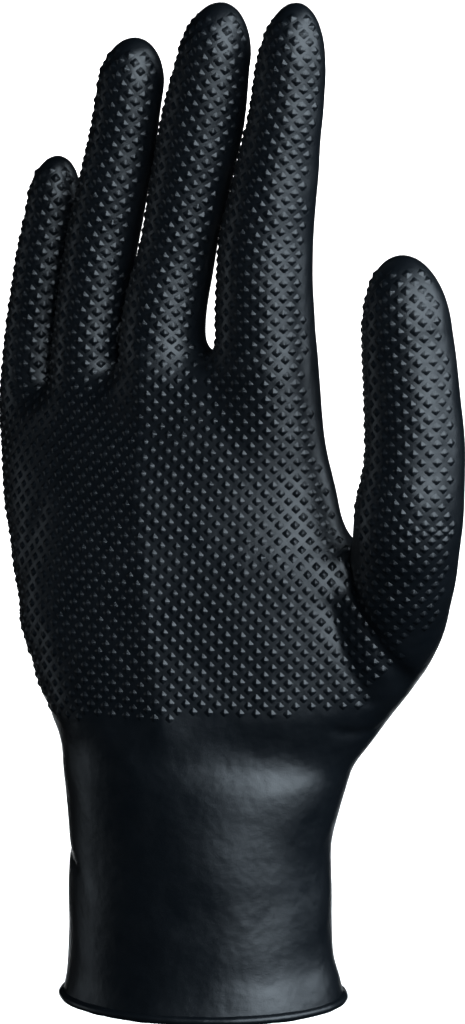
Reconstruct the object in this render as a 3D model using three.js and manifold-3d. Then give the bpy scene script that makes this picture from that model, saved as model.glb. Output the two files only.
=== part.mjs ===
// Nitrile exam glove for a right hand, held open as if worn.
// Millimetres. +Z runs from the cuff to the fingertips, +X to the thumb side, -Y is the palm side.
// The origin is the middle of the cuff's open edge.
import * as THREE from 'three';
import Module from 'manifold-3d';

const wasm = await Module();
wasm.setup();

// Film and bead
const WALL = 1.0;
const BEAD_THICKNESS = 2.2;

// Heights above the cuff's open edge
const CUFF_HEIGHT = 50;
const CUFF_TILT = 2.4;
const WEB_HEIGHT = 157;
const WEB_DROP = 18;
const WEB_ROUNDING = 8;

// Wrist and palm
const WRIST_WIDTH = 65;
const WRIST_DEPTH = 46;
const PALM_WIDTH = 84;
const PALM_DEPTH = 36;
const PALM_ARCH = 10;

// Fineness of the faceted surfaces
const HAND_SIDES = 42;
const HAND_STEPS = 2;
const FINGER_SIDES = 18;
const THUMB_SIDES = 20;
const DOME_STEPS = 5;
const BEAD_SIDES = 8;

// Cuff sections. up is a share of CUFF_HEIGHT, mid and across of WRIST_WIDTH, deep of WRIST_DEPTH and
// tilt of CUFF_TILT, by which the edge lies lower on the little finger's side.
const CUFF_SECTIONS = [
  { up: 0.00, mid: 0.00, across: 1.08, deep: 1.08, tilt: 1.0 },
  { up: 0.10, mid: 0.00, across: 1.05, deep: 1.04, tilt: 0.8 },
  { up: 0.24, mid: -0.01, across: 1.02, deep: 1.01, tilt: 0.5 },
  { up: 0.50, mid: -0.01, across: 1.01, deep: 1.00, tilt: 0.2 },
  { up: 0.78, mid: -0.01, across: 1.00, deep: 0.99, tilt: 0.0 },
];

// Palm sections. up is a share of the way from the cuff to the web.
// mid is where the palm's crown lies, left and right are the reach from it: shares of PALM_WIDTH.
// front and back are shares of PALM_DEPTH. drop is a share of WEB_DROP and arch of PALM_ARCH, by which
// the little finger's side lies lower and further back. full squares the oval: 1 is an ellipse.
const PALM_SECTIONS = [
  { up: 0.04, mid: -0.06, left: 0.35, right: 0.48, front: 0.61, back: 0.61, drop: 0, arch: 0, full: 1 },
  { up: 0.13, mid: -0.12, left: 0.30, right: 0.54, front: 0.58, back: 0.58, drop: 0, arch: 0, full: 1 },
  { up: 0.24, mid: -0.17, left: 0.31, right: 0.68, front: 0.56, back: 0.54, drop: 0, arch: 0, full: 1.1 },
  { up: 0.40, mid: -0.18, left: 0.36, right: 0.72, front: 0.53, back: 0.50, drop: 0.1, arch: 0.1, full: 1.2 },
  { up: 0.53, mid: -0.18, left: 0.39, right: 0.71, front: 0.49, back: 0.46, drop: 0.2, arch: 0.2, full: 1.2 },
  { up: 0.62, mid: -0.18, left: 0.41, right: 0.61, front: 0.46, back: 0.43, drop: 0.3, arch: 0.3, full: 1.1 },
  { up: 0.72, mid: -0.18, left: 0.44, right: 0.57, front: 0.43, back: 0.40, drop: 0.5, arch: 0.5, full: 1.1 },
  { up: 0.84, mid: -0.18, left: 0.46, right: 0.53, front: 0.38, back: 0.37, drop: 0.7, arch: 0.8, full: 1.2 },
  { up: 0.94, mid: -0.18, left: 0.44, right: 0.50, front: 0.29, back: 0.29, drop: 0.9, arch: 0.9, full: 1.4 },
  { up: 1.00, mid: -0.18, left: 0.39, right: 0.48, front: 0.23, back: 0.23, drop: 1.0, arch: 1.0, full: 1.4 },
];

// Fingers. reach is from WEB_HEIGHT to the tip, side is where the root stands from the cuff's axis,
// behind is how far back it stands, and curl is how far forward the tip comes.
// In the rows, up is a share of reach, side and across are shares of width, deep of depth.
const INDEX = {
  reach: 83, width: 22, depth: 20.5, side: 17.4, behind: -1, curl: 3, dome: 19,
  rows: [
    { up: -0.32, side: 0.05, across: 0.70, deep: 0.60 },
    { up: -0.12, side: 0.02, across: 0.98, deep: 0.94 },
    { up: 0.07, side: -0.05, across: 1.06, deep: 1.00 },
    { up: 0.29, side: -0.04, across: 1.02, deep: 0.98 },
    { up: 0.44, side: 0.04, across: 0.93, deep: 0.93 },
    { up: 0.59, side: 0.13, across: 0.84, deep: 0.86 },
    { up: 0.69, side: 0.20, across: 0.785, deep: 0.81 },
    { up: 0.77, side: 0.24, across: 0.755, deep: 0.77 },
  ],
};

const MIDDLE = {
  reach: 83, width: 19.6, depth: 19, side: -8.6, behind: 2, curl: 3, dome: 14,
  rows: [
    { up: -0.32, side: -0.04, across: 0.70, deep: 0.60 },
    { up: -0.10, side: -0.06, across: 1.04, deep: 1.00 },
    { up: 0.08, side: -0.07, across: 1.00, deep: 1.02 },
    { up: 0.29, side: 0.10, across: 0.92, deep: 0.95 },
    { up: 0.46, side: 0.25, across: 0.96, deep: 0.95 },
    { up: 0.60, side: 0.39, across: 0.99, deep: 0.95 },
    { up: 0.72, side: 0.50, across: 0.97, deep: 0.93 },
    { up: 0.83, side: 0.60, across: 0.87, deep: 0.86 },
  ],
};

const RING = {
  reach: 74, width: 17.9, depth: 17.5, side: -30, behind: 5.5, curl: 3, dome: 11.7,
  rows: [
    { up: -0.36, side: 0.00, across: 0.70, deep: 0.60 },
    { up: -0.12, side: -0.03, across: 1.02, deep: 1.00 },
    { up: 0.08, side: 0.00, across: 1.01, deep: 1.02 },
    { up: 0.31, side: 0.14, across: 0.96, deep: 0.96 },
    { up: 0.48, side: 0.30, across: 0.93, deep: 0.93 },
    { up: 0.64, side: 0.46, across: 0.915, deep: 0.90 },
    { up: 0.84, side: 0.61, across: 0.875, deep: 0.85 },
  ],
};

const LITTLE = {
  reach: 45, width: 15, depth: 15, side: -46.4, behind: 12.5, curl: 2, dome: 12,
  rows: [
    { up: -0.80, side: 0.20, across: 0.75, deep: 0.65 },
    { up: -0.50, side: -0.08, across: 1.14, deep: 0.95 },
    { up: -0.22, side: -0.08, across: 1.16, deep: 1.05 },
    { up: 0.11, side: 0.00, across: 1.04, deep: 1.00 },
    { up: 0.49, side: 0.15, across: 0.95, deep: 0.95 },
    { up: 0.73, side: 0.27, across: 0.86, deep: 0.86 },
  ],
};

const FINGERS = [INDEX, MIDDLE, RING, LITTLE];

// Thumb. height is from the cuff's edge to the tip, side is how far out it stands and forward how far
// it comes to the front. In the rows, up, side and forward are shares of these, across of width and
// deep of depth.
const THUMB = {
  height: 184, side: 56.5, forward: 12, width: 24, depth: 22, dome: 18,
  rows: [
    { up: 0.26, side: 0.12, forward: 0.00, across: 1.00, deep: 0.90 },
    { up: 0.35, side: 0.42, forward: -0.10, across: 1.10, deep: 1.00 },
    { up: 0.44, side: 0.66, forward: -0.15, across: 1.05, deep: 1.00 },
    { up: 0.51, side: 0.83, forward: 0.08, across: 1.02, deep: 1.00 },
    { up: 0.58, side: 0.92, forward: 0.55, across: 1.04, deep: 1.00 },
    { up: 0.665, side: 0.98, forward: 1.00, across: 1.05, deep: 1.00 },
    { up: 0.74, side: 1.00, forward: 1.00, across: 0.97, deep: 0.95 },
    { up: 0.815, side: 0.99, forward: 1.00, across: 0.94, deep: 0.92 },
    { up: 0.90, side: 0.97, forward: 1.05, across: 0.87, deep: 0.84 },
  ],
};

// Smooth value between rows, the same curve through every column.
function between(rows, column, place) {
  const last = rows.length - 1;
  const row = Math.min(Math.floor(place), last - 1);
  const t = place - row;
  const at = (index) => rows[Math.min(Math.max(index, 0), last)][column];
  const [before, start, end, after] = [at(row - 1), at(row), at(row + 1), at(row + 2)];
  const slopeStart = (end - before) / 2;
  const slopeEnd = (after - start) / 2;
  const cube = 2 * start - 2 * end + slopeStart + slopeEnd;
  const square = 3 * end - 3 * start - 2 * slopeStart - slopeEnd;
  return ((cube * t + square) * t + slopeStart) * t + start;
}

function spread(rows, steps) {
  const places = (rows.length - 1) * steps;
  return Array.from({ length: places + 1 }, (_, step) => {
    const row = {};
    for (const column of Object.keys(rows[0])) {
      row[column] = between(rows, column, step / steps);
    }
    return row;
  });
}

// A closed solid from rings of points. Each ring has the same number of points, counted the same way.
function solidFromRings(rings) {
  const sides = rings[0].length;
  const points = rings.flat();
  const faces = [];
  for (let ring = 0; ring < rings.length - 1; ring++) {
    for (let side = 0; side < sides; side++) {
      const next = (side + 1) % sides;
      const [a, b] = [ring * sides + side, ring * sides + next];
      const [c, d] = [a + sides, b + sides];
      faces.push([a, b, d], [a, d, c]);
    }
  }
  const capped = [[0, 1], [rings.length - 1, 0]];
  for (const [ring, outward] of capped) {
    const centre = new THREE.Vector3();
    rings[ring].forEach((point) => centre.addScaledVector(point, 1 / sides));
    points.push(centre);
    for (let side = 0; side < sides; side++) {
      const next = (side + 1) % sides;
      const [a, b] = [ring * sides + side, ring * sides + next];
      faces.push(outward ? [points.length - 1, b, a] : [points.length - 1, a, b]);
    }
  }
  return manifoldFrom(points, faces);
}

function manifoldFrom(points, faces) {
  return new wasm.Manifold(new wasm.Mesh({
    numProp: 3,
    vertProperties: new Float32Array(points.flatMap((point) => point.toArray())),
    triVerts: new Uint32Array(faces.flat()),
  }));
}

// One ring of the hand: half ovals of their own reach to the left, right, front and back.
// The ring hangs and stands back more towards the little finger's side.
function handRing(section, inset) {
  return Array.from({ length: HAND_SIDES }, (_, side) => {
    const angle = (2 * Math.PI * side) / HAND_SIDES;
    const along = squared(Math.cos(angle), section.full);
    const out = squared(Math.sin(angle), section.full);
    const reach = (along > 0 ? section.right : section.left) - inset;
    const depth = (out > 0 ? section.back : section.front) - inset;
    const fromThumbSide = (1 - along) / 2;
    return new THREE.Vector3(
      section.mid + reach * along,
      depth * out + section.arch * fromThumbSide ** 2,
      section.height - section.drop * fromThumbSide,
    );
  });
}

function squared(value, full) {
  return Math.sign(value) * Math.abs(value) ** (1 / full);
}

function handSections() {
  const cuff = CUFF_SECTIONS.map((row) => ({
    height: BEAD_THICKNESS / 2 + row.up * (CUFF_HEIGHT - BEAD_THICKNESS / 2) + row.tilt * CUFF_TILT / 2,
    mid: row.mid * WRIST_WIDTH,
    left: row.across * WRIST_WIDTH / 2,
    right: row.across * WRIST_WIDTH / 2,
    front: row.deep * WRIST_DEPTH / 2,
    back: row.deep * WRIST_DEPTH / 2,
    drop: row.tilt * CUFF_TILT,
    arch: 0,
    full: 1,
  }));
  const palm = PALM_SECTIONS.map((row) => ({
    height: CUFF_HEIGHT + row.up * (WEB_HEIGHT - CUFF_HEIGHT),
    mid: row.mid * PALM_WIDTH,
    left: row.left * PALM_WIDTH,
    right: row.right * PALM_WIDTH,
    front: row.front * PALM_DEPTH,
    back: row.back * PALM_DEPTH,
    drop: row.drop * WEB_DROP,
    arch: row.arch * PALM_ARCH,
    full: row.full,
  }));
  return spread([...cuff, ...palm], HAND_STEPS);
}

// The web's rounding above the last palm section, from a quarter turn of an oval.
function webSections(top, inset) {
  return [1, 2, 3].map((step) => {
    const angle = (step / 3) * 80 * Math.PI / 180;
    const shrink = (reach) => (reach - inset) * Math.cos(angle) + inset;
    const pulled = top.left * (1 - Math.cos(angle)) * 0.25;
    return {
      ...top,
      height: top.height + (WEB_ROUNDING - inset) * Math.sin(angle),
      left: top.left - pulled,
      right: top.right - pulled,
      front: shrink(top.front),
      back: shrink(top.back),
    };
  });
}

function hand(inset) {
  const sections = handSections();
  const top = sections[sections.length - 1];
  const rings = [...sections, ...webSections(top, inset)].map((section) => handRing(section, inset));
  if (inset > 0) {
    const mouth = rings[0].map((point) => point.clone().setZ(-BEAD_THICKNESS));
    rings.unshift(mouth);
  }
  return solidFromRings(rings);
}

// A round-ended tube: oval rings square to a path, then a dome past the last one.
function roundedTube(rows, dome, sides, inset) {
  const places = rows.map((row) => new THREE.Vector3(row.x, row.y, row.z));
  const directionAt = (index) => {
    const ahead = places[Math.min(index + 1, places.length - 1)];
    const behind = places[Math.max(index - 1, 0)];
    return ahead.clone().sub(behind).normalize();
  };
  const oval = (centre, direction, across, deep) => {
    const back = new THREE.Vector3(0, 1, 0).addScaledVector(direction, -direction.y).normalize();
    const right = back.clone().cross(direction).normalize();
    return Array.from({ length: sides }, (_, side) => {
      const angle = (2 * Math.PI * side) / sides;
      return centre.clone()
        .addScaledVector(right, across * Math.cos(angle))
        .addScaledVector(back, deep * Math.sin(angle));
    });
  };
  const rings = rows.map((row, index) =>
    oval(places[index], directionAt(index), row.across / 2 - inset, row.deep / 2 - inset));
  const last = rows.length - 1;
  const direction = directionAt(last);
  for (let step = 1; step <= DOME_STEPS; step++) {
    const angle = (step / (DOME_STEPS + 0.4)) * Math.PI / 2;
    const centre = places[last].clone().addScaledVector(direction, (dome - inset) * Math.sin(angle));
    const [across, deep] = [rows[last].across / 2 - inset, rows[last].deep / 2 - inset];
    rings.push(oval(centre, direction, across * Math.cos(angle), deep * Math.cos(angle)));
  }
  return solidFromRings(rings);
}

function finger(shape, inset) {
  const rows = shape.rows.map((row) => ({
    x: shape.side + row.side * shape.width,
    y: shape.behind - shape.curl * Math.max(row.up, 0) ** 2,
    z: WEB_HEIGHT + row.up * shape.reach,
    across: row.across * shape.width,
    deep: row.deep * shape.depth,
  }));
  return roundedTube(rows, shape.dome, FINGER_SIDES, inset);
}

function thumb(inset) {
  const rows = THUMB.rows.map((row) => ({
    x: row.side * THUMB.side,
    y: -row.forward * THUMB.forward,
    z: row.up * THUMB.height,
    across: row.across * THUMB.width,
    deep: row.deep * THUMB.depth,
  }));
  return roundedTube(rows, THUMB.dome, THUMB_SIDES, inset);
}

function handWithFingers(inset) {
  const pieces = [hand(inset), thumb(inset), ...FINGERS.map((shape) => finger(shape, inset))];
  return pieces.reduce((joined, piece) => joined.add(piece));
}

// The rolled edge: a round section carried round the middle of the cuff's wall.
function bead() {
  const edge = handRing(handSections()[0], WALL / 2);
  const radius = BEAD_THICKNESS / 2;
  const points = [];
  const faces = [];
  edge.forEach((point, index) => {
    const ahead = edge[(index + 1) % HAND_SIDES];
    const behind = edge[(index + HAND_SIDES - 1) % HAND_SIDES];
    const along = ahead.clone().sub(behind).normalize();
    const outward = along.clone().cross(new THREE.Vector3(0, 0, 1));
    for (let side = 0; side < BEAD_SIDES; side++) {
      const angle = (2 * Math.PI * side) / BEAD_SIDES;
      const place = point.clone().addScaledVector(outward, radius * Math.cos(angle));
      place.z += radius * Math.sin(angle);
      points.push(place);
    }
    for (let side = 0; side < BEAD_SIDES; side++) {
      const nextSide = (side + 1) % BEAD_SIDES;
      const nextRing = ((index + 1) % HAND_SIDES) * BEAD_SIDES;
      const [a, b] = [index * BEAD_SIDES + side, index * BEAD_SIDES + nextSide];
      const [c, d] = [nextRing + side, nextRing + nextSide];
      faces.push([a, d, b], [a, c, d]);
    }
  });
  return manifoldFrom(points, faces);
}

function gloveFilm() {
  const outside = handWithFingers(0);
  const hollow = handWithFingers(WALL);
  return outside.subtract(hollow).add(bead());
}

function geometryFrom(solid) {
  const mesh = solid.getMesh();
  const geometry = new THREE.BufferGeometry();
  geometry.setAttribute('position', new THREE.BufferAttribute(mesh.vertProperties, 3));
  geometry.setIndex(new THREE.BufferAttribute(mesh.triVerts, 1));
  geometry.computeVertexNormals();
  return geometry;
}

const blackNitrile = new THREE.MeshStandardMaterial({ color: 0x15181b, roughness: 0.45, metalness: 0 });

const glove = new THREE.Mesh(geometryFrom(gloveFilm()), blackNitrile);
glove.name = 'glove';

const object = new THREE.Group();
object.add(glove);

export default object;
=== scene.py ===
"""The nitrile exam glove as Blender meshes: film, rolled bead and the raised diamonds of the grip.

The glove's surface is worked out as one field, in millimetres: below zero inside the glove, zero on the
film. The field joins a lofted hand and five round-ended tubes smoothly. The film is the field's zero
surface, and the bead and the diamonds are placed on it. Lengths are in millimetres until a mesh is made.
"""
import math

import bpy
import numpy as np
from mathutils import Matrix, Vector


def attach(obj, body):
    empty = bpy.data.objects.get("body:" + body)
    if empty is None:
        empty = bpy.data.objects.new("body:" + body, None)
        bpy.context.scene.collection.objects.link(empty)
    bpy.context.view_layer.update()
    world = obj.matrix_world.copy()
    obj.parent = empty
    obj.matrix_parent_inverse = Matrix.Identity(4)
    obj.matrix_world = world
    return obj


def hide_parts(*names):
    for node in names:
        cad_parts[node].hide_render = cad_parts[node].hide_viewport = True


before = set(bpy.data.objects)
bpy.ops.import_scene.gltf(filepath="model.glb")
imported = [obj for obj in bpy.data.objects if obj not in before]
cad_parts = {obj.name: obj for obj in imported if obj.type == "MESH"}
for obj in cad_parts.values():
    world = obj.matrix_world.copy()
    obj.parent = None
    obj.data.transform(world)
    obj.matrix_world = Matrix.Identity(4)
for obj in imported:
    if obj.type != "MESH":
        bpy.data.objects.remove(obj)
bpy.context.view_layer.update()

MM = 0.001

# Sizes of the real glove
FILM_THICKNESS = 0.3
BEAD_THICKNESS = 2.2
CUFF_HEIGHT = 50
CUFF_TILT = 2.4
WEB_HEIGHT = 157
WEB_DROP = 18
WEB_ROUNDING = 8
WRIST_WIDTH = 65
WRIST_DEPTH = 46
PALM_WIDTH = 84
PALM_DEPTH = 36
PALM_ARCH = 10

# Grip: square diamonds in staggered rows
DIAMOND_SPACING = 3.72
DIAMOND_ROW = 1.83
DIAMOND_HALF = 1.1
DIAMOND_HEIGHT = 0.4
DIAMOND_CORNER_CUT = 9
SHARP_FROM = 22

# A diamond from its foot to its tip: shares of DIAMOND_HALF out and of DIAMOND_HEIGHT up
DIAMOND_PROFILE = [(1.10, -0.22), (0.93, 0.03), (0.30, 0.83), (0.13, 0.98)]

# Where the grip stands. The turns, in degrees from the palm's front, are where it ends round the sides.
GRIP_TIP_GAP = 2.8
GRIP_TURN_LOW = -86
GRIP_TURN_HIGH = 66
PALM_ROWS_FROM = 66
FINGER_ROWS_FROM = 150
THUMB_ROWS_FROM = 76
PALM_SPAN = (-47, 70)
FINGER_SPAN = (-13.5, 13.5)
THUMB_SPAN = (-12, 17)
THUMB_UPRIGHT_TO = 122
THUMB_ROWS_BESIDE = 4.4
ROWS_TURN_WITHIN = 20

# Lower edge of the grip, from the little finger's side to the thumb's, through (x, z) points
GRIP_FOOT = [
    (-46, 92), (-43, 87), (-38.5, 76.5), (-35, 70.5), (-8.5, 72.5), (42.5, 76), (45, 80), (51.5, 88),
    (57, 94.5), (62, 99), (66, 108.5),
]

# Where the palm's grip ends at the thumb's side, through (z, x) points: down the thumb's crease, and past
# the smooth patch over the web up to the index finger
PALM_GRIP_SIDE = [(77, 53), (85, 52), (95, 47), (108, 40.5), (112, 40.5), (118, 33.5), (124, 34.5), (145, 29)]
THUMB_GRIP_SIDE = [(77, 54.2), (85, 53.2), (95, 48.2), (108, 41.7), (112, 46), (124, 43)]

# Fineness
FILM_GRID = 1.05
INSIDE_GRID = 2.0
CONTOUR_STEP = 0.2

# The field: how far from a finger's path it is worked out, and guards against dividing by nothing
STRIP_MARGIN = 22.0
STRIP_TOP_MARGIN = 14.0
FAR_AWAY = 60.0
LEAST_SLOPE = 0.02
TINY = 1e-6
WEB_RISE = 0.6
RELIEF_FADES_BY = 4

# Cuff sections. up is a share of CUFF_HEIGHT, across of WRIST_WIDTH, deep of WRIST_DEPTH, tilt of CUFF_TILT.
CUFF_SECTIONS = [
    dict(up=-0.10, mid=0.00, across=1.09, deep=1.09, tilt=1.0),
    dict(up=0.00, mid=0.00, across=1.08, deep=1.08, tilt=1.0),
    dict(up=0.10, mid=0.00, across=1.05, deep=1.04, tilt=0.8),
    dict(up=0.24, mid=-0.01, across=1.02, deep=1.01, tilt=0.5),
    dict(up=0.50, mid=-0.01, across=1.01, deep=1.00, tilt=0.2),
    dict(up=0.78, mid=-0.01, across=1.00, deep=0.99, tilt=0.0),
]

# Palm sections. up is a share of the way from the cuff to the web, mid, left and right are shares of
# PALM_WIDTH, front and back of PALM_DEPTH, drop of WEB_DROP, arch of PALM_ARCH. full 1 is an ellipse.
PALM_SECTIONS = [
    dict(up=0.04, mid=-0.06, left=0.35, right=0.48, front=0.61, back=0.61, drop=0.0, arch=0.0, full=1.0),
    dict(up=0.13, mid=-0.12, left=0.30, right=0.54, front=0.58, back=0.58, drop=0.0, arch=0.0, full=1.0),
    dict(up=0.24, mid=-0.17, left=0.31, right=0.68, front=0.56, back=0.54, drop=0.0, arch=0.0, full=1.1),
    dict(up=0.40, mid=-0.18, left=0.36, right=0.72, front=0.53, back=0.50, drop=0.1, arch=0.1, full=1.2),
    dict(up=0.53, mid=-0.18, left=0.39, right=0.71, front=0.49, back=0.46, drop=0.2, arch=0.2, full=1.2),
    dict(up=0.62, mid=-0.18, left=0.41, right=0.61, front=0.46, back=0.43, drop=0.3, arch=0.3, full=1.1),
    dict(up=0.72, mid=-0.18, left=0.44, right=0.57, front=0.43, back=0.40, drop=0.5, arch=0.5, full=1.1),
    dict(up=0.84, mid=-0.18, left=0.46, right=0.53, front=0.38, back=0.37, drop=0.7, arch=0.8, full=1.2),
    dict(up=0.94, mid=-0.18, left=0.44, right=0.50, front=0.31, back=0.30, drop=0.9, arch=0.9, full=1.4),
    dict(up=1.06, mid=-0.18, left=0.39, right=0.48, front=0.28, back=0.26, drop=1.0, arch=1.0, full=1.4),
]

# Fingers. reach is from WEB_HEIGHT to the tip, side and behind place the root, curl brings the tip forward.
# In the rows, up is a share of reach, side and across of width, deep of depth.
FINGERS = {
    "index": dict(reach=83, width=22, depth=20.5, side=17.4, behind=-1, curl=3, dome=19, rows=[
        dict(up=-0.32, side=0.05, across=0.70, deep=0.60),
        dict(up=-0.12, side=0.02, across=0.98, deep=0.94),
        dict(up=0.07, side=-0.05, across=1.06, deep=1.00),
        dict(up=0.29, side=-0.04, across=1.02, deep=0.98),
        dict(up=0.44, side=0.04, across=0.93, deep=0.93),
        dict(up=0.59, side=0.13, across=0.84, deep=0.86),
        dict(up=0.69, side=0.20, across=0.785, deep=0.81),
        dict(up=0.77, side=0.24, across=0.755, deep=0.77),
    ]),
    "middle": dict(reach=83, width=19.6, depth=19, side=-8.6, behind=2, curl=3, dome=14, rows=[
        dict(up=-0.32, side=-0.04, across=0.70, deep=0.60),
        dict(up=-0.10, side=-0.06, across=1.04, deep=1.00),
        dict(up=0.08, side=-0.07, across=1.00, deep=1.02),
        dict(up=0.29, side=0.10, across=0.92, deep=0.95),
        dict(up=0.46, side=0.25, across=0.96, deep=0.95),
        dict(up=0.60, side=0.39, across=0.99, deep=0.95),
        dict(up=0.72, side=0.50, across=0.97, deep=0.93),
        dict(up=0.83, side=0.60, across=0.87, deep=0.86),
    ]),
    "ring": dict(reach=74, width=17.9, depth=17.5, side=-30, behind=5.5, curl=3, dome=11.7, rows=[
        dict(up=-0.36, side=0.00, across=0.70, deep=0.60),
        dict(up=-0.12, side=-0.03, across=1.02, deep=1.00),
        dict(up=0.08, side=0.00, across=1.01, deep=1.02),
        dict(up=0.31, side=0.14, across=0.96, deep=0.96),
        dict(up=0.48, side=0.30, across=0.93, deep=0.93),
        dict(up=0.64, side=0.46, across=0.915, deep=0.90),
        dict(up=0.84, side=0.61, across=0.875, deep=0.85),
    ]),
    "little": dict(reach=45, width=15, depth=15, side=-46.4, behind=12.5, curl=2, dome=12, rows=[
        dict(up=-0.80, side=0.20, across=0.75, deep=0.65),
        dict(up=-0.50, side=-0.08, across=1.14, deep=0.95),
        dict(up=-0.22, side=-0.08, across=1.16, deep=1.05),
        dict(up=0.11, side=0.00, across=1.04, deep=1.00),
        dict(up=0.49, side=0.15, across=0.95, deep=0.95),
        dict(up=0.73, side=0.27, across=0.86, deep=0.86),
    ]),
}

# Thumb. In the rows, up is a share of height, side of side, forward of forward, across and deep of width
# and depth.
THUMB = dict(height=184, side=56.5, forward=12, width=24, depth=22, dome=18, rows=[
    dict(up=0.26, side=0.12, forward=0.00, across=1.00, deep=0.90),
    dict(up=0.35, side=0.42, forward=-0.10, across=1.10, deep=1.00),
    dict(up=0.44, side=0.66, forward=-0.15, across=1.05, deep=1.00),
    dict(up=0.51, side=0.83, forward=0.08, across=1.02, deep=1.00),
    dict(up=0.58, side=0.92, forward=0.55, across=1.04, deep=1.00),
    dict(up=0.665, side=0.98, forward=1.00, across=1.05, deep=1.00),
    dict(up=0.74, side=1.00, forward=1.00, across=0.97, deep=0.95),
    dict(up=0.815, side=0.99, forward=1.00, across=0.94, deep=0.92),
    dict(up=0.90, side=0.97, forward=1.05, across=0.87, deep=0.84),
])


def dense_rows(rows, steps=12):
    """Columns of a table along a smooth curve through its rows: a cubic whose slope at a row is half the
    step between its neighbours."""
    last = len(rows) - 1
    place = np.arange(last * steps + 1) / steps
    row = np.minimum(place.astype(int), last - 1)
    t = place - row
    columns = {}
    for name in rows[0]:
        value = np.array([r[name] for r in rows], float)
        before = value[np.maximum(row - 1, 0)]
        start = value[row]
        end = value[row + 1]
        after = value[np.minimum(row + 2, last)]
        slope_start = (end - before) / 2
        slope_end = (after - start) / 2
        cube = 2 * start - 2 * end + slope_start + slope_end
        square = 3 * end - 3 * start - 2 * slope_start - slope_end
        columns[name] = ((cube * t + square) * t + slope_start) * t + start
    return columns


def hand_table():
    """Columns of the hand's sections in millimetres, by height."""
    rows = []
    foot = BEAD_THICKNESS / 2
    for r in CUFF_SECTIONS:
        half_width = r["across"] * WRIST_WIDTH / 2
        half_depth = r["deep"] * WRIST_DEPTH / 2
        rows.append(dict(
            height=foot + r["up"] * (CUFF_HEIGHT - foot) + r["tilt"] * CUFF_TILT / 2,
            mid=r["mid"] * WRIST_WIDTH, left=half_width, right=half_width, front=half_depth, back=half_depth,
            drop=r["tilt"] * CUFF_TILT, arch=0, full=1))
    for r in PALM_SECTIONS:
        rows.append(dict(
            height=CUFF_HEIGHT + r["up"] * (WEB_HEIGHT - CUFF_HEIGHT),
            mid=r["mid"] * PALM_WIDTH, left=r["left"] * PALM_WIDTH, right=r["right"] * PALM_WIDTH,
            front=r["front"] * PALM_DEPTH, back=r["back"] * PALM_DEPTH,
            drop=r["drop"] * WEB_DROP, arch=r["arch"] * PALM_ARCH, full=r["full"]))
    return dense_rows(rows)


HAND = hand_table()


def hand_section(height):
    """Every column of the hand's section at these heights."""
    return {name: np.interp(height, HAND["height"], HAND[name]) for name in HAND}


def hand_field(x, y, z):
    """Signed distance to the lofted hand, near its surface: how far past 1 the squared oval's reach is,
    over its slope. The ring that a point belongs to hangs lower and stands back on the little side."""
    height = z
    for _ in range(3):
        s = hand_section(height)
        dx = x - s["mid"]
        reach = np.where(dx > 0, s["right"], s["left"])
        from_thumb = (1 - np.clip(dx / reach, -1, 1)) / 2
        height = z + s["drop"] * from_thumb
    dy = y - s["arch"] * from_thumb ** 2
    depth = np.where(dy > 0, s["back"], s["front"])
    power = 2 * s["full"]
    u = np.abs(dx) / reach
    w = np.abs(dy) / depth
    far = np.maximum(u ** power + w ** power, TINY)
    size = far ** (1 / power)
    slope = size ** (1 - power) * np.hypot(u ** (power - 1) / reach, w ** (power - 1) / depth)
    side = (size - 1) / np.maximum(slope, LEAST_SLOPE)
    top = height - (WEB_HEIGHT + WEB_ROUNDING * WEB_RISE)
    return smooth_max(side, top, WEB_ROUNDING)


def smooth_min(a, b, blend):
    """The smaller of two fields, with a round of this size where they meet."""
    near = np.clip(0.5 + 0.5 * (b - a) / blend, 0, 1)
    return b + (a - b) * near - blend * near * (1 - near)


def smooth_max(a, b, blend):
    """The larger of two fields, rounded in the same way."""
    return -smooth_min(-a, -b, blend)


def finger_path(shape):
    c = dense_rows(shape["rows"])
    centre = np.stack([
        shape["side"] + c["side"] * shape["width"],
        shape["behind"] - shape["curl"] * np.maximum(c["up"], 0) ** 2,
        WEB_HEIGHT + c["up"] * shape["reach"],
    ], axis=1)
    return path_of(centre, c["across"] * shape["width"] / 2, c["deep"] * shape["depth"] / 2, shape["dome"])


def thumb_path():
    c = dense_rows(THUMB["rows"])
    centre = np.stack([
        c["side"] * THUMB["side"],
        -c["forward"] * THUMB["forward"],
        c["up"] * THUMB["height"],
    ], axis=1)
    return path_of(centre, c["across"] * THUMB["width"] / 2, c["deep"] * THUMB["depth"] / 2, THUMB["dome"])


def path_of(centre, across, deep, dome):
    """A path with its length so far, direction, half width and half depth at each point."""
    step = np.diff(centre, axis=0)
    length = np.concatenate([[0], np.cumsum(np.linalg.norm(step, axis=1))])
    direction = np.gradient(centre, length, axis=0)
    direction /= np.linalg.norm(direction, axis=1, keepdims=True)
    return dict(centre=centre, length=length, direction=direction, across=across, deep=deep, dome=dome)


def on_path(path, length, name):
    """A column of the path at these lengths. Past its ends the centre runs straight on."""
    value = path[name]
    if value.ndim == 1:
        return np.interp(length, path["length"], value)
    result = np.stack([np.interp(length, path["length"], value[:, k]) for k in range(3)], axis=-1)
    if name == "centre":
        over = np.maximum(length - path["length"][-1], 0)[..., None] * path["direction"][-1]
        under = np.minimum(length, 0)[..., None] * path["direction"][0]
        result = result + over + under
    return result


def path_frame(direction):
    """Unit vectors across and to the back, square to the direction."""
    back = np.array([0.0, 1.0, 0.0]) - direction * direction[..., 1:2]
    back /= np.linalg.norm(back, axis=-1, keepdims=True)
    return np.cross(back, direction), back


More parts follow.
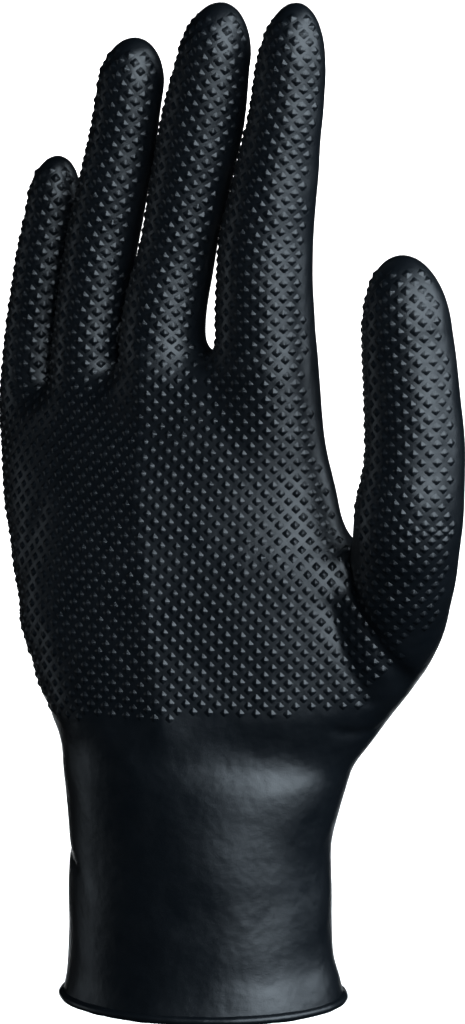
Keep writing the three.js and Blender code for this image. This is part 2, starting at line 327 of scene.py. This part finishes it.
def tube_field(path, x, y, z):
    """Signed distance to a round-ended tube, near its surface. A point's place along the path is where
    the path is nearest, and past the last point the oval's reach grows with the dome as well."""
    point = np.stack([x, y, z], axis=-1)
    place = np.interp(z, path["centre"][:, 2], path["length"])
    for _ in range(3):
        off = point - on_path(path, place, "centre")
        place = place + (off * on_path(path, place, "direction")).sum(-1)
    off = point - on_path(path, place, "centre")
    right, back = path_frame(on_path(path, place, "direction"))
    across = on_path(path, place, "across")
    deep = on_path(path, place, "deep")
    past_tip = np.maximum(place - path["length"][-1], 0)
    past_root = np.maximum(-place, 0)
    u = (off * right).sum(-1)
    w = (off * back).sum(-1)
    root, dome = path["across"][0], path["dome"]
    size = np.sqrt((u / across) ** 2 + (w / deep) ** 2 + (past_tip / dome) ** 2 + (past_root / root) ** 2)
    slope = np.sqrt((u / across ** 2) ** 2 + (w / deep ** 2) ** 2 + (past_tip / dome ** 2) ** 2
                    + (past_root / root ** 2) ** 2) / np.maximum(size, TINY)
    return (size - 1) / np.maximum(slope, LEAST_SLOPE)


PATHS = {name: finger_path(shape) for name, shape in FINGERS.items()}
PATHS["thumb"] = thumb_path()

# Rounds where the parts of the hand meet
FINGER_BLEND = 0.5
ROOT_BLEND = 5.0
THUMB_BLEND = 5.0


def field(x, y, z):
    """The whole glove: fingers joined with a tight crease, then joined softly to the hand and thumb."""
    x, y, z = np.broadcast_arrays(x, y, z)
    shape = x.shape
    x, y, z = x.ravel(), y.ravel(), z.ravel()
    hand = hand_field(x, y, z)
    fingers = np.full(x.shape, FAR_AWAY)
    for name in FINGERS:
        near = near_path(PATHS[name], x, z)
        value = tube_field(PATHS[name], x[near], y[near], z[near])
        fingers[near] = smooth_min(fingers[near], value, FINGER_BLEND)
    joined = smooth_min(hand, fingers, ROOT_BLEND)
    near = near_path(PATHS["thumb"], x, z)
    value = tube_field(PATHS["thumb"], x[near], y[near], z[near])
    joined[near] = smooth_min(joined[near], value, THUMB_BLEND)
    joined = joined + relief(x, y, z)
    return joined.reshape(shape)


def near_path(path, x, z):
    """Which points lie in the upright strip round the path."""
    centre = path["centre"]
    middle = np.interp(z, centre[:, 2], centre[:, 0])
    low = centre[0, 2] - STRIP_MARGIN
    high = centre[-1, 2] + path["dome"] + STRIP_TOP_MARGIN
    return (z > low) & (z < high) & (np.abs(x - middle) < path["across"].max() + STRIP_MARGIN)


# Folds of the film on the palm side. Each is a groove that runs through (x, z) points.
FOLDS = [
    dict(line=[(40, 108), (47, 95), (52, 85), (53, 77)], depth=1.3, width=2.2),
    dict(line=[(36, 100), (41, 86), (44, 78)], depth=0.6, width=2.0),
    dict(line=[(37, 70.5), (41, 69.4), (45, 69.6)], depth=0.45, width=1.3),
    dict(line=[(-37, 119), (-42, 106), (-45, 95)], depth=0.5, width=2.4),
    dict(line=[(-36.4, 88.6), (-41.2, 80)], depth=0.5, width=2.0),
    dict(line=[(-34, 77), (-36, 71)], depth=0.4, width=1.6),
    dict(line=[(-33, 37.5), (-28, 33)], depth=0.45, width=1.4),
]

# The crown of the palm, where the loose film stands up in a soft ridge through these (x, z) points. On
# both sides it falls off by the exponential of the distance over its width. round blunts its top.
CROWN = dict(
    line=[(-12, 158), (-10.6, 124), (-8.4, 110), (-6, 91), (-2.4, 70)], height=1.7, width=9, round=1.0)

# Soft unevenness of the loose film: waves along a direction in (x, y, z), each with its length and height.
WAVES = [
    dict(direction=(0.9, 0.2, 0.4), length=31, height=0.10, start=0.4),
    dict(direction=(-0.5, 0.6, 0.7), length=23, height=0.09, start=1.9),
    dict(direction=(0.3, -0.8, 0.9), length=17, height=0.06, start=4.1),
]


def distance_to_line(x, z, line):
    """Distance in (x, z) to a run of straight lines."""
    best = np.full(x.shape, np.inf)
    for (x0, z0), (x1, z1) in zip(line[:-1], line[1:]):
        dx, dz = x1 - x0, z1 - z0
        t = np.clip(((x - x0) * dx + (z - z0) * dz) / (dx * dx + dz * dz), 0, 1)
        best = np.minimum(best, np.hypot(x - x0 - t * dx, z - z0 - t * dz))
    return best


def relief(x, y, z):
    """How far the film is pressed in by folds, raised by the crown, and uneven. Folds and crown are only on
    the palm side, and fade out round the sides."""
    total = np.zeros(x.shape)
    front = np.clip((RELIEF_FADES_BY - y) / (2 * RELIEF_FADES_BY), 0, 1)
    for fold in FOLDS:
        away = distance_to_line(x, z, fold["line"])
        total += fold["depth"] * np.exp(-(away / fold["width"]) ** 2) * front
    away = np.hypot(distance_to_line(x, z, CROWN["line"]), CROWN["round"])
    total -= CROWN["height"] * np.exp(-away / CROWN["width"]) * front
    for wave in WAVES:
        dx, dy, dz = wave["direction"]
        along = (x * dx + y * dy + z * dz) * 2 * np.pi / wave["length"]
        total += wave["height"] * np.sin(along + wave["start"])
    return total


def cuff_edge(x):
    """Height of the cuff's edge, the middle of the bead, at this x."""
    half = CUFF_SECTIONS[1]["across"] * WRIST_WIDTH / 2
    return BEAD_THICKNESS / 2 + CUFF_TILT * np.clip(x / half, -1, 1) / 2


def level_surface(grid, inset):
    """Points and quads of the surface where the field is -inset. Each grid cell that the surface crosses
    gets one point, the mean of its crossed edges, and each crossed grid edge one quad round it."""
    low = np.array([-62.0, -32.0, -3.0])
    high = np.array([74.0, 32.0, 246.0])
    counts = np.ceil((high - low) / grid).astype(int) + 1
    axes = [low[k] + grid * np.arange(counts[k]) for k in range(3)]
    value = field(axes[0][:, None, None], axes[1][None, :, None], axes[2][None, None, :]) + inset
    inside = value < 0
    total = np.zeros((*(counts - 1), 3))
    number = np.zeros(counts - 1)
    cut = [slice(0, -1), slice(1, None)]
    for axis in range(3):
        others = [k for k in range(3) if k != axis]
        first = [slice(None)] * 3
        second = [slice(None)] * 3
        first[axis] = slice(0, -1)
        second[axis] = slice(1, None)
        a = value[tuple(first)]
        b = value[tuple(second)]
        crossed = (a < 0) != (b < 0)
        t = np.where(crossed, a / np.where(crossed, a - b, 1), 0)
        for corner_a in (0, 1):
            for corner_b in (0, 1):
                part = [slice(None)] * 3
                part[others[0]] = cut[corner_a]
                part[others[1]] = cut[corner_b]
                hit = crossed[tuple(part)]
                number += hit
                total[..., axis] += np.where(hit, t[tuple(part)], 0)
                total[..., others[0]] += hit * corner_a
                total[..., others[1]] += hit * corner_b
    used = number > 0
    index = np.full(used.shape, -1)
    index[used] = np.arange(used.sum())
    cell = np.stack(np.nonzero(used), axis=1)
    points = low + grid * (cell + total[used] / number[used][:, None])
    quads = []
    for axis in range(3):
        others = [(axis + 1) % 3, (axis + 2) % 3]
        first = [slice(1, -1)] * 3
        second = [slice(1, -1)] * 3
        first[axis] = slice(0, -1)
        second[axis] = slice(1, None)
        a = inside[tuple(first)]
        b = inside[tuple(second)]
        for flipped, crossed in ((False, a & ~b), (True, ~a & b)):
            at = np.stack(np.nonzero(crossed), axis=1)
            at[:, others] += 1
            corners = []
            for back_a, back_b in ((1, 1), (0, 1), (0, 0), (1, 0)):
                cell = at.copy()
                cell[:, others[0]] -= back_a
                cell[:, others[1]] -= back_b
                corners.append(index[cell[:, 0], cell[:, 1], cell[:, 2]])
            quad = np.stack(corners, axis=1)
            quads.append(quad[:, ::-1] if flipped else quad)
    return points, np.concatenate(quads)


def slope_of(points, step=0.25):
    """The field's gradient at these points, from differences."""
    x, y, z = points.T
    return np.stack([
        field(x + step, y, z) - field(x - step, y, z),
        field(x, y + step, z) - field(x, y - step, z),
        field(x, y, z + step) - field(x, y, z - step),
    ], axis=1) / (2 * step)


def settled(points, inset):
    """Points moved along the gradient onto the level surface, by at most half a millimetre a step."""
    for _ in range(2):
        gradient = slope_of(points)
        value = field(*points.T) + inset
        steep = np.maximum((gradient ** 2).sum(1), 0.2)
        points = points - gradient * np.clip(value / steep, -0.5, 0.5)[:, None]
    return points


def cut_at_cuff(points, quads):
    """Leaves out what hangs below the cuff's edge, and draws the last row up to it."""
    edge = cuff_edge(points[:, 0])
    keep = (points[quads][:, :, 2] > edge[quads]).any(axis=1)
    quads = quads[keep]
    points = points.copy()
    points[:, 2] = np.maximum(points[:, 2], edge)
    used, numbered = np.unique(quads, return_inverse=True)
    return points[used], numbered.reshape(quads.shape)


def add_mesh(name, points, faces):
    """A smooth-shaded object at the origin from points in millimetres and quads or triangles."""
    mesh = bpy.data.meshes.new(name)
    count, corners = faces.shape
    mesh.vertices.add(len(points))
    mesh.vertices.foreach_set("co", (points * MM).astype(np.float32).ravel())
    mesh.loops.add(count * corners)
    mesh.loops.foreach_set("vertex_index", faces.astype(np.int32).ravel())
    mesh.polygons.add(count)
    mesh.polygons.foreach_set("loop_start", np.arange(0, count * corners, corners, dtype=np.int32))
    mesh.update(calc_edges=True)
    mesh.validate()
    mesh.shade_smooth()
    piece = bpy.data.objects.new(name, mesh)
    bpy.context.scene.collection.objects.link(piece)
    return piece


def make_film():
    """The outside: the field's zero surface down to the cuff's edge."""
    points, quads = level_surface(FILM_GRID, 0)
    points = settled(points, 0)
    return add_mesh("film", *cut_at_cuff(points, quads))


def make_inside():
    """The inside: the field's surface a film's thickness in, turned to face the hollow."""
    points, quads = level_surface(INSIDE_GRID, FILM_THICKNESS)
    points = settled(points, FILM_THICKNESS)
    points, quads = cut_at_cuff(points, quads)
    return add_mesh("film_inside", points, quads[:, ::-1])


def front_of(x, z):
    """Where lines from the front, straight back along +Y, first meet the film: y moves back by the
    field's distance until it is nothing. Returns y, and whether the line met the film."""
    y = np.full(x.shape, -31.0)
    for _ in range(34):
        y = np.minimum(y + np.clip(0.85 * field(x, y, z), -0.5, 6), 31)
    return y, (np.abs(field(x, y, z)) < 0.04) & (y < 30)


def diamonds_along(numbers, heights, middle, lean, start, low, high, mine):
    """Diamond centres on rows of the film. A row runs through its middle line at its height, and rises by
    lean to the right. The front contour's length is measured along it from the middle line, where the
    pattern stands at start, and a centre stands every DIAMOND_SPACING, half a step over on odd rows."""
    offset = np.arange(low, high, CONTOUR_STEP)[None, :]
    x = middle[:, None] + offset
    z = heights[:, None] + lean[:, None] * offset
    y, met = front_of(x, z)
    good = met & mine(x, y, z)
    step = np.where(good[:, 1:] & good[:, :-1], np.hypot(CONTOUR_STEP, np.diff(y, axis=1)), TINY)
    length = np.concatenate([np.zeros((len(heights), 1)), np.cumsum(step, axis=1)], axis=1)
    column = np.arange(-30, 31)
    centres, ups = [], []
    for row, number in enumerate(numbers):
        along = length[row] - np.interp(0, offset[0], length[row])
        place = (column + 0.5 * (number % 2)) * DIAMOND_SPACING - start
        whole = (place > along[0]) & (place < along[-1]) & (np.interp(place, along, good[row] * 1.0) > 0.99)
        place = place[whole]
        centres.append(np.stack([np.interp(place, along, line[row]) for line in (x, y, z)], axis=1))
        ups.append(np.tile([-lean[row], 0, 1.0], (len(place), 1)))
    return np.concatenate(centres), np.concatenate(ups)


def row_numbers(low, high):
    """Numbers of the rows whose heights lie between these."""
    return np.arange(math.ceil(low / DIAMOND_ROW), math.floor(high / DIAMOND_ROW) + 1)


def palm_diamonds():
    """Level rows over the palm, counted from its middle line, up to the side where the thumb's begin."""
    numbers = row_numbers(PALM_ROWS_FROM, FINGER_ROWS_FROM)
    heights = numbers * DIAMOND_ROW
    middle, lean = np.full(heights.shape, HAND["mid"][-1]), np.zeros(heights.shape)
    points, ups = diamonds_along(numbers, heights, middle, lean, 0, *PALM_SPAN, lambda x, y, z: x < 60)
    side = np.interp(points[:, 2], *zip(*PALM_GRIP_SIDE))
    keep = points[:, 0] < side
    return points[keep], ups[keep]


def contour_place(x):
    """How far along the palm's topmost row of diamonds this x lies, from the palm's middle line."""
    height = np.array([FINGER_ROWS_FROM * 1.0])
    line = HAND["mid"][-1] + np.arange(-45, 48, CONTOUR_STEP)
    y, _ = front_of(line, np.full(line.shape, height[0]))
    length = np.concatenate([[0], np.cumsum(np.hypot(CONTOUR_STEP, np.diff(y)))])
    return np.interp(x, line, length) - np.interp(HAND["mid"][-1], line, length)


def path_top(path):
    """Height of the tip of the finger's dome."""
    return path["centre"][-1, 2] + path["dome"] * path["direction"][-1, 2]


def finger_diamonds(name):
    """Rows up one finger. Their heights follow the length up the finger's front line, and they turn from
    level at the root to square with the finger."""
    path = PATHS[name]
    root = np.interp(FINGER_ROWS_FROM, path["centre"][:, 2], path["length"])
    run = np.linspace(root, path["length"][-1] + path["dome"] - 1, 300)
    centre = on_path(path, run, "centre")
    y, _ = front_of(centre[:, 0], centre[:, 2])
    front = np.stack([centre[:, 0], y, centre[:, 2]], axis=1)
    steps = np.linalg.norm(np.diff(front, axis=0), axis=1)
    climbed = FINGER_ROWS_FROM + np.concatenate([[0], np.cumsum(steps)])
    numbers = row_numbers(FINGER_ROWS_FROM + 0.01, climbed[-1])
    heights = np.interp(numbers * DIAMOND_ROW, climbed, centre[:, 2])
    middle = np.interp(heights, centre[:, 2], centre[:, 0])
    tangent = np.interp(heights, centre[:, 2], np.gradient(centre[:, 0], centre[:, 2]))
    turned = np.clip((heights - FINGER_ROWS_FROM) / ROWS_TURN_WITHIN, 0, 1)
    start = contour_place(centre[0, 0])

    def mine(x, y, z):
        flat = [v.ravel() for v in (x, y, z)]
        own = tube_field(path, *flat)
        others = [tube_field(PATHS[other], *flat) for other in FINGERS if other != name]
        return (own < np.min(others, axis=0)).reshape(x.shape)

    points, ups = diamonds_along(numbers, heights, middle, -tangent * turned, start, *FINGER_SPAN, mine)
    keep = points[:, 2] < path_top(path) - GRIP_TIP_GAP
    return points[keep], ups[keep]


def thumb_diamonds():
    """Rows up the thumb, from a line that stands upright beside the crease and then follows the thumb."""
    path = PATHS["thumb"]
    numbers = row_numbers(THUMB_ROWS_FROM, path_top(path) - GRIP_TIP_GAP)
    heights = numbers * DIAMOND_ROW
    place = np.interp(np.maximum(heights, THUMB_UPRIGHT_TO), path["centre"][:, 2], path["length"])
    over = np.maximum(heights - path["centre"][-1, 2], 0)
    middle = on_path(path, place + over, "centre")[:, 0] - THUMB_ROWS_BESIDE
    lean = -np.gradient(middle, heights)
    points, ups = diamonds_along(numbers, heights, middle, lean, 0, *THUMB_SPAN, lambda x, y, z: x > 36)
    side = np.interp(points[:, 2], *zip(*THUMB_GRIP_SIDE))
    keep = (points[:, 0] > side) & (points[:, 2] < path_top(path) - GRIP_TIP_GAP)
    return points[keep], ups[keep]


def make_diamonds(name, points, ups, seed):
    """Raised diamonds as one mesh: at each centre a low square pyramid with cut corners and a blunt tip,
    its corners up, down and to the sides. Its foot is sunk into the film."""
    points = settled(points, 0)
    normal = slope_of(points)
    normal /= np.linalg.norm(normal, axis=1, keepdims=True)
    turn = np.degrees(np.arctan2(normal[:, 0], -normal[:, 1]))
    above_foot = points[:, 2] > np.interp(points[:, 0], *zip(*GRIP_FOOT))
    limit = GRIP_TURN_HIGH + 10 * np.clip((points[:, 2] - 205) / 20, 0, 1)
    keep = above_foot & (turn > GRIP_TURN_LOW) & (turn < limit)
    points, ups, normal = points[keep], ups[keep], normal[keep]
    up = ups - normal * (ups * normal).sum(1, keepdims=True)
    up /= np.linalg.norm(up, axis=1, keepdims=True)
    across = np.cross(up, normal)
    chance = np.random.default_rng(seed)
    size = DIAMOND_HALF * (1 + 0.04 * chance.standard_normal(len(points)))
    height = DIAMOND_HEIGHT * (1 + 0.06 * chance.standard_normal(len(points)))
    cut = math.radians(DIAMOND_CORNER_CUT)
    corner = np.repeat(np.arange(4) * math.pi / 2, 2) + np.tile([-cut, cut], 4)
    reach, raised = np.array(DIAMOND_PROFILE).T
    along = reach[:, None] * np.cos(corner)
    over = reach[:, None] * np.sin(corner)
    spread = size[:, None, None, None]
    rings = (points[:, None, None, :] + across[:, None, None, :] * along[..., None] * spread
             + up[:, None, None, :] * over[..., None] * spread
             + normal[:, None, None, :] * raised[:, None, None] * height[:, None, None, None])
    tips = points + normal * height[:, None]
    sides, levels = len(corner), len(reach)
    each = sides * levels + 1
    vertices = np.concatenate([rings.reshape(len(points), -1, 3), tips[:, None, :]], axis=1)
    side = np.arange(sides)
    following = (side + 1) % sides
    faces = []
    for level in range(levels - 1):
        a, b = level * sides + side, level * sides + following
        faces.append(np.stack([a, b, b + sides], axis=1))
        faces.append(np.stack([a, b + sides, a + sides], axis=1))
    top = (levels - 1) * sides
    faces.append(np.stack([top + side, top + following, np.full(sides, each - 1)], axis=1))
    pattern = np.concatenate(faces)
    triangles = (np.arange(len(points)) * each)[:, None, None] + pattern[None]
    piece = add_mesh(name, vertices.reshape(-1, 3), triangles.reshape(-1, 3))
    piece.data.set_sharp_from_angle(angle=math.radians(SHARP_FROM))
    return piece


def joined_lattice(parts):
    points, ups = zip(*parts)
    return np.concatenate(points), np.concatenate(ups)


def make_bead():
    """The rolled edge: a round section carried round the cuff's edge. Where the roll's last turn lies on
    it the section has a shallow groove, and the roll's thickness wanders a little along its length."""
    around, sides = 360, 20
    turn = np.linspace(0, 2 * np.pi, around, endpoint=False)
    edge = hand_section(BEAD_THICKNESS / 2 + CUFF_TILT / 2)
    half = edge["left"] - FILM_THICKNESS / 2
    depth = edge["front"] - FILM_THICKNESS / 2
    centre = np.stack([half * np.cos(turn), depth * np.sin(turn), cuff_edge(half * np.cos(turn))], axis=1)
    outward = np.stack([np.cos(turn) / half, np.sin(turn) / depth, 0 * turn], axis=1)
    outward /= np.linalg.norm(outward, axis=1, keepdims=True)
    angle = np.linspace(0, 2 * np.pi, sides, endpoint=False)[None, :]
    groove = 0.12 * np.exp(-((np.sin((angle - 1.15) / 2) / 0.16) ** 2))
    wander = 1 + 0.035 * np.sin(7 * turn + 1.0) + 0.03 * np.sin(17 * turn) + 0.02 * np.sin(29 * turn + 2)
    radius = BEAD_THICKNESS / 2 * wander[:, None] - groove
    points = (centre[:, None, :] + outward[:, None, :] * (radius * np.cos(angle))[..., None]
              + np.array([0, 0, 1.0]) * (radius * np.sin(angle))[..., None])
    ring = np.arange(around)[:, None] * sides
    next_ring = (np.arange(around)[:, None] + 1) % around * sides
    side = np.arange(sides)[None, :]
    next_side = (side + 1) % sides
    quads = np.stack([ring + side, next_ring + side, next_ring + next_side, ring + next_side], axis=-1)
    return add_mesh("bead", points.reshape(-1, 3), quads.reshape(-1, 4))


film = make_film()
inside = make_inside()
bead = make_bead()
grips = [
    make_diamonds("grip_palm", *palm_diamonds(), 3),
    make_diamonds("grip_fingers", *joined_lattice([finger_diamonds(name) for name in FINGERS]), 5),
    make_diamonds("grip_thumb", *thumb_diamonds(), 7),
]


def make_material(name):
    """Black nitrile: a near-black film with a faint blue cast. Its roughness and shade vary softly, and a
    fine bump gives the pebbled skin of dipped rubber. Everything reads Object coordinates."""
    material = bpy.data.materials.new(name)
    material.use_nodes = True
    nodes, links = material.node_tree.nodes, material.node_tree.links
    shader = nodes["Principled BSDF"]
    coordinates = nodes.new("ShaderNodeTexCoord")

    def noise(scale, detail, roughness):
        texture = nodes.new("ShaderNodeTexNoise")
        texture.inputs["Scale"].default_value = scale
        texture.inputs["Detail"].default_value = detail
        texture.inputs["Roughness"].default_value = roughness
        links.new(coordinates.outputs["Object"], texture.inputs["Vector"])
        return texture.outputs["Fac"]

    def spread_to(value, low, high):
        ramp = nodes.new("ShaderNodeMapRange")
        ramp.inputs["From Min"].default_value = 0.3
        ramp.inputs["From Max"].default_value = 0.7
        ramp.inputs["To Min"].default_value = low
        ramp.inputs["To Max"].default_value = high
        links.new(value, ramp.inputs["Value"])
        return ramp.outputs["Result"]

    clouds = noise(60, 4, 0.55)
    tint = nodes.new("ShaderNodeMix")
    tint.data_type = "RGBA"
    tint.inputs["A"].default_value = (0.0018, 0.0032, 0.0048, 1)
    tint.inputs["B"].default_value = (0.0035, 0.0056, 0.0080, 1)
    links.new(clouds, tint.inputs["Factor"])
    links.new(tint.outputs["Result"], shader.inputs["Base Color"])
    links.new(spread_to(noise(140, 5, 0.6), 0.34, 0.44), shader.inputs["Roughness"])
    shader.inputs["IOR"].default_value = 1.5
    fine = nodes.new("ShaderNodeBump")
    fine.inputs["Strength"].default_value = 0.25
    fine.inputs["Distance"].default_value = 0.00012
    links.new(noise(2600, 3, 0.6), fine.inputs["Height"])
    soft = nodes.new("ShaderNodeBump")
    soft.inputs["Strength"].default_value = 0.5
    soft.inputs["Distance"].default_value = 0.0006
    links.new(noise(170, 2, 0.5), soft.inputs["Height"])
    links.new(fine.outputs["Normal"], soft.inputs["Normal"])
    links.new(soft.outputs["Normal"], shader.inputs["Normal"])
    return material


nitrile = make_material("black_nitrile")
for piece in (film, inside, bead, *grips):
    piece.data.materials.append(nitrile)
    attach(piece, "root")
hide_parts("glove")


# The middle that the lights face, and the floor's height, in metres
GLOVE_MIDDLE = Vector((0.0, 0.0, 0.12))
FLOOR_HEIGHT = -0.12

# Below 1 this darkens the dark tones, as in the photo, and leaves white alone
VIEW_GAMMA = 0.85

# Camera: the photo's view, from the thumb side and a little above
CAMERA_TURN = 20.0
CAMERA_RISE = 9.5
CAMERA_DISTANCE = 1000.0
CAMERA_AIM_RIGHT = 7.25
CAMERA_AIM_HEIGHT = 119.1
VIEW_HEIGHT = 243.2
SENSOR = 36.0


def aim(thing, target):
    thing.rotation_euler = (Vector(target) - thing.location).to_track_quat("-Z", "Y").to_euler()


def make_camera():
    turn, rise = math.radians(CAMERA_TURN), math.radians(CAMERA_RISE)
    right = CAMERA_AIM_RIGHT
    target = Vector((math.cos(turn) * right, math.sin(turn) * right, CAMERA_AIM_HEIGHT)) * MM
    towards = Vector((math.sin(turn) * math.cos(rise), -math.cos(turn) * math.cos(rise), math.sin(rise)))
    data = bpy.data.cameras.new("camera")
    data.sensor_width = SENSOR
    data.lens = SENSOR * CAMERA_DISTANCE / VIEW_HEIGHT
    data.clip_start = 0.05
    data.clip_end = 60
    camera = bpy.data.objects.new("camera", data)
    camera.location = target + towards * CAMERA_DISTANCE * MM
    aim(camera, target)
    bpy.context.scene.collection.objects.link(camera)
    bpy.context.scene.camera = camera


def make_light(name, place, target, size, power, colour=(1, 1, 1)):
    """A flat soft light of this width and height in metres."""
    data = bpy.data.lights.new(name, "AREA")
    data.shape = "RECTANGLE"
    data.size, data.size_y = size
    data.energy = power
    data.color = colour
    light = bpy.data.objects.new(name, data)
    light.location = place
    aim(light, target)
    bpy.context.scene.collection.objects.link(light)


def around(turn, rise, distance):
    """A place this many degrees round from the palm's front towards the thumb's side, and this far up."""
    turn, rise = math.radians(turn), math.radians(rise)
    return (distance * math.sin(turn) * math.cos(rise), -distance * math.cos(turn) * math.cos(rise),
            GLOVE_MIDDLE[2] + distance * math.sin(rise))


def behind(distance, side, height):
    """A place this far behind the glove in the camera's line of sight, to the camera's right by side."""
    turn = math.radians(CAMERA_TURN)
    return Vector((side * math.cos(turn) - distance * math.sin(turn),
                   side * math.sin(turn) + distance * math.cos(turn), height))


def make_floor():
    """A plain pale floor that begins behind the glove and widens far back, so that it fills the view."""
    near, near_half, far, far_half = 0.28, 0.2, 12.0, 1.7
    mesh = bpy.data.meshes.new("floor")
    corners = [behind(near, -near_half, FLOOR_HEIGHT), behind(near, near_half, FLOOR_HEIGHT),
               behind(far, far_half, FLOOR_HEIGHT), behind(far, -far_half, FLOOR_HEIGHT)]
    mesh.from_pydata(corners, [], [(0, 1, 2, 3)])
    floor = bpy.data.objects.new("floor", mesh)
    bpy.context.scene.collection.objects.link(floor)
    material = bpy.data.materials.new("pale_floor")
    material.use_nodes = True
    shader = material.node_tree.nodes["Principled BSDF"]
    shader.inputs["Base Color"].default_value = (0.92, 0.92, 0.92, 1)
    shader.inputs["Roughness"].default_value = 0.9
    shader.inputs["Specular IOR Level"].default_value = 0
    mesh.materials.append(material)


def make_world():
    """A nearly black room, so that only the soft boxes are mirrored in the film."""
    world = bpy.data.worlds.new("studio")
    world.use_nodes = True
    background = world.node_tree.nodes["Background"]
    background.inputs["Color"].default_value = (0.9, 0.93, 1.0, 1)
    background.inputs["Strength"].default_value = 0.006
    bpy.context.scene.world = world


def make_lights():
    """Soft boxes at the thumb's side light the right of every form, and a weak one at the other side gives
    the left edges a faint sheen. Three lights over the floor whiten it, and face away from the glove."""
    bluish = (0.80, 0.91, 1.0)
    make_light("front_box", around(47, 22, 1.3), GLOVE_MIDDLE, (1.4, 1.5), 50, bluish)
    make_light("side_box", around(100, 24, 1.3), GLOVE_MIDDLE, (0.9, 1.3), 20, bluish)
    make_light("left_box", around(-84, -8, 1.3), GLOVE_MIDDLE, (0.3, 0.8), 1.2, bluish)
    for name, distance, height, down, size, power in (
            ("floor_light_near", 0.45, 1.0, 20, (1.2, 0.5), 45),
            ("floor_light_middle", 2.0, 1.6, 45, (1.5, 1.0), 60),
            ("floor_light_far", 5.2, 2.6, 60, (2.5, 2.5), 330)):
        place = behind(distance, 0, height)
        ahead = distance + math.cos(math.radians(down))
        target = behind(ahead, 0, height - math.sin(math.radians(down)))
        make_light(name, place, target, size, power)


make_camera()
make_floor()
make_world()
make_lights()
bpy.context.scene.view_settings.view_transform = "Standard"
bpy.context.scene.view_settings.gamma = VIEW_GAMMA
